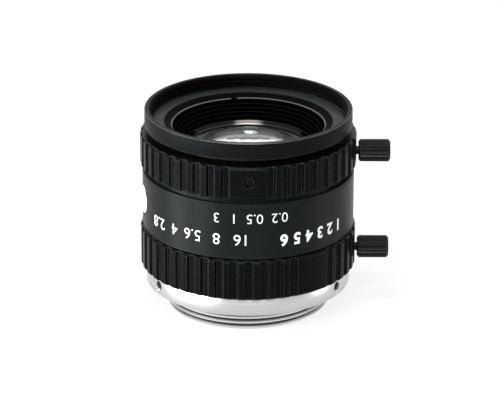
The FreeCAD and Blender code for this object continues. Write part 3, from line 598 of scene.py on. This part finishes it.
def frontPiece(look):
    low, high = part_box("front_ring")
    top = high.z / mm
    ringLow = low.z / mm + look["hubDepth"]
    shelf = ringLow + look["shelf"]
    threadLow = ringLow + look["threadLow"]
    threadHigh = ringLow + look["threadHigh"]
    ring = turnedShape([
        (look["bore"], low.z / mm), (look["hub"], low.z / mm), (look["hub"], ringLow),
        (look["outer"] - look["edge"], ringLow), (look["outer"], ringLow + look["edge"]),
        (look["outer"], top - look["edge"]), (look["outer"] - look["edge"], top),
        (look["rimInner"], top), (look["lip"], top - look["lipDepth"]), (look["lip"], threadHigh),
        (look["wall"], threadHigh), (look["wall"], threadLow),
        (look["lip"], threadLow), (look["lip"], shelf), (look["bore"], shelf)], look["segments"])
    softenRims(ring, look["soft"], look["softSegments"])
    for face in ring.faces:
        face.material_index = rimFinish(face, look, shelf, top)
    margin = look["threadMargin"]
    ridge = threadRidge({**look["thread"], "root": look["wall"], "crest": look["lip"],
                         "low": threadLow + margin, "high": threadHigh - margin})
    for face in ridge.faces:
        face.material_index = 1
    whole = joinShapes(ring, ridge)
    return meshPiece("frontRim", whole, "rim inner shelf edge", "optics_block")


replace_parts(frontPiece(frontLook), "front_ring")
print("threads ready")


# Lenses with smooth faces, because their reflections show every facet

lensLooks = {
    "frontGlass": {"node": "front_lens", "low": (20.0, 2.5), "high": (28.0, 0.0)},
    "secondGlass": {"node": "second_lens", "low": (40.0, 0.9), "high": (-30.0, 0.9)},
    "thirdGlass": {"node": "third_lens", "low": (40.0, 0.9), "high": (60.0, 0.9)},
    "fourthGlass": {"node": "fourth_lens", "low": (14.0, 0.0), "high": (22.0, 0.9)},
    "fifthGlass": {"node": "fifth_lens", "low": (40.0, 0.9), "high": (-14.0, 0.0)},
    "rearGlass": {"node": "rear_lens", "low": (60.0, 0.9), "high": (16.0, 0.9)},
}
lensMesh = {"across": 28, "round": 128, "smoothAngle": 10.0}


def sag(sphere, radius):
    # How far a sphere has dropped at a distance from its top; negative where it is hollow.
    return math.copysign(abs(sphere) - math.sqrt(sphere ** 2 - radius ** 2), sphere)


def lensPiece(name, look):
    # Turns two spherical faces with flat seats round them, to the size of the lens in the frame.
    boxLow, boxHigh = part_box(look["node"])
    radius = (boxHigh.x - boxLow.x) / 2 / mm
    outline = []
    for side, outward, extreme in (("low", -1, boxLow.z), ("high", 1, boxHigh.z)):
        sphere, seat = look[side]
        clear = radius - seat
        rim = extreme / mm - outward * max(0.0, sag(sphere, clear))
        points = [(radius, rim)] if seat else []
        for step in range(lensMesh["across"], -1, -1):
            reach = clear * step / lensMesh["across"]
            points.append((reach, rim + outward * (sag(sphere, clear) - sag(sphere, reach))))
        outline += points if side == "high" else points[::-1]
    shape = turnedShape(outline, lensMesh["round"], closed=False)
    bmesh.ops.remove_doubles(shape, verts=shape.verts, dist=weldWithin)
    bmesh.ops.recalc_face_normals(shape, faces=shape.faces)
    piece = meshPiece(name, shape, "glass", "optics_block", lensMesh["smoothAngle"])
    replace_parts(piece, look["node"])


for name, look in lensLooks.items():
    lensPiece(name, look)
print("lenses ready")


# Plain numbers and a dot, printed upside down on the fixed band

printRows = {
    "stops": {"words": {"16": -93.5, "8": -107.0, "5.6": -121.0, "4": -133.0, "2.8": -146.0},
              "height": 12.8, "size": 2.55, "bold": -0.012},
    "distances": {"words": {"0.2": -73.0, "0.5": -86.5, "1": -97.5, "3": -107.0},
                  "height": 16.25, "size": 2.2, "bold": -0.014},
    "figures": {"words": {"1": -33.0, "2": -40.5, "3": -48.0, "4": -55.5, "5": -63.0, "6": -70.5},
                "height": 12.5, "size": 2.55, "bold": 0.08},
}
printLift = {"radius": 16.43, "above": 0.012, "below": 0.01, "slice": 0.25}


def wordShape(word, size, bold):
    # Flat letters centred on the origin, cut into narrow slices so that they bend round the band.
    curve = bpy.data.curves.new("letters", "FONT")
    curve.body = word
    curve.size = size * mm
    curve.align_x = "CENTER"
    curve.align_y = "CENTER"
    curve.offset = bold * mm
    curve.extrude = (printLift["above"] + printLift["below"]) / 2 * mm
    holder = bpy.data.objects.new("letters", curve)
    scene.collection.objects.link(holder)
    mesh = bpy.data.meshes.new_from_object(holder.evaluated_get(bpy.context.evaluated_depsgraph_get()))
    shape = bmesh.new()
    shape.from_mesh(mesh)
    bpy.data.objects.remove(holder)
    bpy.data.curves.remove(curve)
    bpy.data.meshes.remove(mesh)
    bmesh.ops.remove_doubles(shape, verts=shape.verts, dist=weldWithin)
    return shape


def slices(shape, width):
    # Cuts a flat shape across, so that no face spans much of the curve it is wrapped on.
    reach = max(abs(vertex.co.x) for vertex in shape.verts)
    count = math.ceil(reach / width)
    for index in range(-count, count + 1):
        everything = shape.verts[:] + shape.edges[:] + shape.faces[:]
        bmesh.ops.bisect_plane(shape, geom=everything, dist=cutWithin, plane_co=(index * width, 0, 0),
                               plane_no=(1, 0, 0))


def wrapUpsideDown(shape, azimuth, height):
    # Lays a flat shape on the band, turned half a turn so that it reads from above.
    middle = (printLift["above"] - printLift["below"]) / 2 + printLift["radius"]
    for vertex in shape.verts:
        radius = middle * mm + vertex.co.z
        angle = math.radians(azimuth) - vertex.co.x / (printLift["radius"] * mm)
        vertex.co = Vector((radius * math.cos(angle), radius * math.sin(angle), height * mm - vertex.co.y))


def printRow(name, row):
    # One line of figures as one piece.
    shapes = []
    for word, azimuth in row["words"].items():
        shape = wordShape(word, row["size"], row["bold"])
        slices(shape, printLift["slice"] * mm)
        wrapUpsideDown(shape, azimuth, row["height"])
        shapes.append(shape)
    return meshPiece(name + "Print", joinShapes(*shapes), "print", "root")


for name, row in printRows.items():
    printRow(name, row)

dotLook = {"azimuth": -170.0, "height": 14.1, "radius": 2.2, "ring": 2.42, "segments": 64}


def dotPiece(name, radii, looks, look):
    # Printed disc, or ring where a second radius is given, as thick as the figures.
    disc = bmesh.new()
    bmesh.ops.create_circle(disc, cap_ends=True, radius=radii[0] * mm, segments=look["segments"])
    if len(radii) > 1:
        bmesh.ops.inset_individual(disc, faces=disc.faces[:], thickness=(radii[0] - radii[1]) * mm)
        middle = min(disc.faces, key=lambda face: face.calc_center_median().length)
        bmesh.ops.delete(disc, geom=[middle], context="FACES_ONLY")
    half = (printLift["above"] + printLift["below"]) / 2 * mm
    bmesh.ops.translate(disc, verts=disc.verts, vec=(0, 0, -half))
    lifted = bmesh.ops.extrude_face_region(disc, geom=disc.faces[:])
    raised = [item for item in lifted["geom"] if isinstance(item, bmesh.types.BMVert)]
    bmesh.ops.translate(disc, verts=raised, vec=(0, 0, 2 * half))
    slices(disc, printLift["slice"] * mm)
    wrapUpsideDown(disc, look["azimuth"], look["height"])
    bmesh.ops.recalc_face_normals(disc, faces=disc.faces)
    return meshPiece(name, disc, looks, "root")


dotPiece("indexDot", [dotLook["radius"]], "print", dotLook)
dotPiece("indexDotRing", [dotLook["ring"], dotLook["radius"]], "inner", dotLook)
print("print ready")


# Floor, world and lamps

floorLook = {"size": 6.0, "white": 0.8, "shadowShare": 0.18}


def seenDirectly(tree):
    # 1 for what the camera sees, also by reflection or through glass, and 0 for what lights the lens.
    rays = tree.nodes.new("ShaderNodeLightPath")
    seen = mathNode(tree, "MAXIMUM", rays.outputs["Is Camera Ray"], rays.outputs["Is Glossy Ray"])
    return mathNode(tree, "MAXIMUM", seen, rays.outputs["Is Transmission Ray"])


def floorMaterial(look):
    # Plain white: mostly even, with a share that still takes the lens's shadow; clear from beneath.
    material = bpy.data.materials.new("floorWhite")
    material.use_nodes = True
    tree = material.node_tree
    tree.nodes.clear()
    output = tree.nodes.new("ShaderNodeOutputMaterial")
    matt = tree.nodes.new("ShaderNodeBsdfDiffuse")
    matt.inputs["Color"].default_value = (look["white"],) * 3 + (1.0,)
    even = tree.nodes.new("ShaderNodeEmission")
    even.inputs["Strength"].default_value = 1.0
    share = mathNode(tree, "MULTIPLY", seenDirectly(tree), 1.0 - look["shadowShare"])
    mix = tree.nodes.new("ShaderNodeMixShader")
    tree.links.new(share, mix.inputs[0])
    tree.links.new(matt.outputs[0], mix.inputs[1])
    tree.links.new(even.outputs[0], mix.inputs[2])
    below = tree.nodes.new("ShaderNodeMixShader")
    tree.links.new(tree.nodes.new("ShaderNodeNewGeometry").outputs["Backfacing"], below.inputs[0])
    tree.links.new(mix.outputs[0], below.inputs[1])
    tree.links.new(tree.nodes.new("ShaderNodeBsdfTransparent").outputs[0], below.inputs[2])
    tree.links.new(below.outputs[0], output.inputs["Surface"])
    return material


def stageObject(name, shape, material):
    # Object that belongs to the studio and not to the lens.
    mesh = bpy.data.meshes.new(name)
    shape.to_mesh(mesh)
    shape.free()
    mesh.materials.append(material)
    piece = bpy.data.objects.new(name, mesh)
    scene.collection.objects.link(piece)
    return piece


def floorPiece(look):
    # Level with the lowest point of the lens.
    shape = bmesh.new()
    bmesh.ops.create_grid(shape, x_segments=1, y_segments=1, size=look["size"] / 2)
    bottom = min(corner[2] for corner in cadBox)
    bmesh.ops.translate(shape, verts=shape.verts, vec=(0, 0, bottom))
    stageObject("floor", shape, floorMaterial(look))


floorPiece(floorLook)

worldLook = {"fill": 0.45, "seen": 1.0}


def plainWorld(look):
    # White to look at, and dimmer as a light.
    world = bpy.data.worlds.new("paleStudio")
    scene.world = world
    world.use_nodes = True
    tree = world.node_tree
    background = tree.nodes["Background"]
    background.inputs["Color"].default_value = (1.0, 1.0, 1.0, 1.0)
    extra = mathNode(tree, "MULTIPLY", seenDirectly(tree), look["seen"] - look["fill"])
    tree.links.new(mathNode(tree, "ADD", extra, look["fill"]), background.inputs["Strength"])


plainWorld(worldLook)

lamps = {
    "keyLeft": {"place": (-0.44, -0.10, 0.085), "size": (0.14, 0.17), "power": 3.4},
    "keyFront": {"place": (-0.34, -0.29, 0.085), "size": (0.12, 0.15), "power": 2.0},
    "stripRight": {"place": (0.42, -0.04, 0.08), "size": (0.05, 0.16), "power": 0.42},
    "topSoft": {"place": (-0.02, -0.05, 0.42), "size": (0.13, 0.09), "power": 0.8, "round": True},
    "frontHigh": {"place": (0.0, -0.31, 0.331), "size": (0.36, 0.035), "power": 1.2, "round": True},
}
archLook = {
    "count": 7, "step": 3.4, "middle": 29.6, "drop": 0.05,
    "distance": 0.45, "size": (0.052, 0.03), "power": 0.014,
}
glassTop = Vector((0, 0, 0.0232))
lampAim = Vector((0, 0, 0.012))


def outFrom(point, azimuth, elevation, distance):
    # Place at a bearing from a point; an azimuth of 0 is straight behind the lens.
    turn = math.radians(azimuth)
    lift = math.radians(elevation)
    away = Vector((math.sin(turn) * math.cos(lift), math.cos(turn) * math.cos(lift), math.sin(lift)))
    return point + away * distance


def archRows(look):
    # Small lamps in an arch behind the lens, which the front glass shows as one crescent.
    rows = {}
    for index in range(look["count"]):
        azimuth = (index - (look["count"] - 1) / 2) * look["step"]
        place = outFrom(glassTop, azimuth, look["middle"] - look["drop"] * azimuth ** 2, look["distance"])
        rows["arch" + str(index + 1)] = {"place": place, "size": look["size"], "power": look["power"]}
    return rows


def placeLamps(rows):
    for name, row in rows.items():
        light = bpy.data.lights.new(name, "AREA")
        light.shape = "ELLIPSE" if row.get("round") else "RECTANGLE"
        light.size, light.size_y = row["size"]
        light.energy = row["power"]
        lamp = bpy.data.objects.new(name, light)
        scene.collection.objects.link(lamp)
        place = Vector(row["place"])
        turn = (lampAim - place).to_track_quat("-Z", "Y").to_matrix().to_4x4()
        lamp.matrix_world = Matrix.Translation(place) @ turn
        lamp.visible_camera = False


placeLamps({**lamps, **archRows(archLook)})

cardRows = {
    "greyCard": {"low": 20.9, "high": 24.4, "tone": 0.45},
    "blackCard": {"low": 24.4, "high": 27.2, "tone": 0.01},
}
cardLook = {"distance": 0.55, "spread": 26.0}


def placeCard(name, row, look):
    # Card behind the lens that only the reflections see.
    corners = [outFrom(glassTop, side * look["spread"], row[end], look["distance"])
               for side, end in ((-1, "low"), (1, "low"), (1, "high"), (-1, "high"))]
    shape = bmesh.new()
    shape.faces.new([shape.verts.new(corner) for corner in corners])
    material = bpy.data.materials.new(name)
    material.use_nodes = True
    tree = material.node_tree
    tree.nodes.clear()
    glow = tree.nodes.new("ShaderNodeEmission")
    glow.inputs["Strength"].default_value = row["tone"]
    tree.links.new(glow.outputs[0], tree.nodes.new("ShaderNodeOutputMaterial").inputs["Surface"])
    card = stageObject(name, shape, material)
    for unseen in ("camera", "diffuse", "transmission", "shadow", "volume_scatter"):
        setattr(card, "visible_" + unseen, False)


for name, row in cardRows.items():
    placeCard(name, row, cardLook)

cameraLook = {
    "distance": 0.4872, "elevation": 21.77, "height": 0.01112, "roll": 0.23,
    "lens": 224.5, "sensor": 36.0, "shift": (0.0038, 0.02), "clipStart": 0.01,
}


def placeCamera(look):
    # In front of the lens at the photograph's viewing angle.
    data = bpy.data.cameras.new("camera")
    data.lens = look["lens"]
    data.sensor_width = look["sensor"]
    data.shift_x, data.shift_y = look["shift"]
    data.clip_start = look["clipStart"]
    camera = bpy.data.objects.new("camera", data)
    scene.collection.objects.link(camera)
    angle = math.radians(look["elevation"])
    away = Vector((0, -math.cos(angle), math.sin(angle))) * look["distance"]
    turn = (-away).to_track_quat("-Z", "Y").to_matrix().to_4x4()
    roll = Matrix.Rotation(math.radians(look["roll"]), 4, "Z")
    camera.matrix_world = Matrix.Translation(away + Vector((0, 0, look["height"]))) @ turn @ roll
    scene.camera = camera


placeCamera(cameraLook)
scene.view_settings.view_transform = "Standard"
print("light and camera ready")
